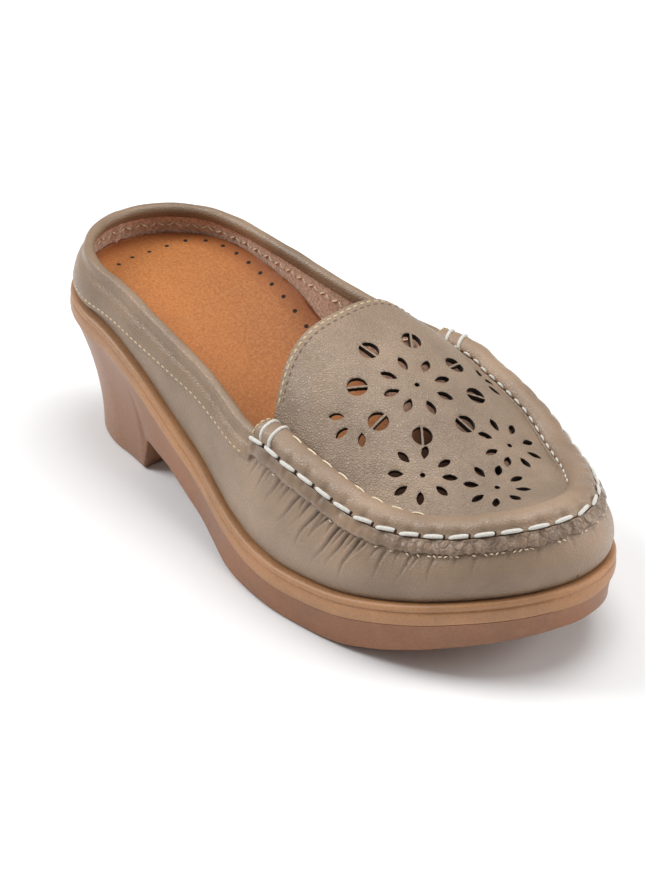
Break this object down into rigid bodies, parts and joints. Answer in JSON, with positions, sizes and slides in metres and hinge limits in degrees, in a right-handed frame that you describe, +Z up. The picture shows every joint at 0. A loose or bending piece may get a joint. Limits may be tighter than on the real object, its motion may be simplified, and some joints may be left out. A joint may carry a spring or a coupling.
{
  "type": "slip-on wedge mule",
  "caption": "Slip-on leather moccasin mule with a low collar, a perforated apron, a stitched roll and a cut-out wedge sole.",
  "frame": {"origin": "middle of the box round the shoe, on the floor", "axes": "+X from heel to toe, +Y towards the inner side of the right foot, +Z up"},
  "size_m": [0.2416, 0.1016, 0.0841],
  "materials": {
    "upper_leather": "pebbled taupe leather, satin",
    "footbed": "tan leather, matt",
    "sole_unit": "fine-grained brown, satin",
    "welt": "smooth amber brown, satin"
  },
  "bodies": {
    "root": {"outsole": "sole_unit", "welt": "welt", "insole": "footbed", "upper": "upper_leather", "collar_cuff": "upper_leather", "apron_roll": "upper_leather", "rim_strip": "upper_leather"}
  },
  "joints": []
}
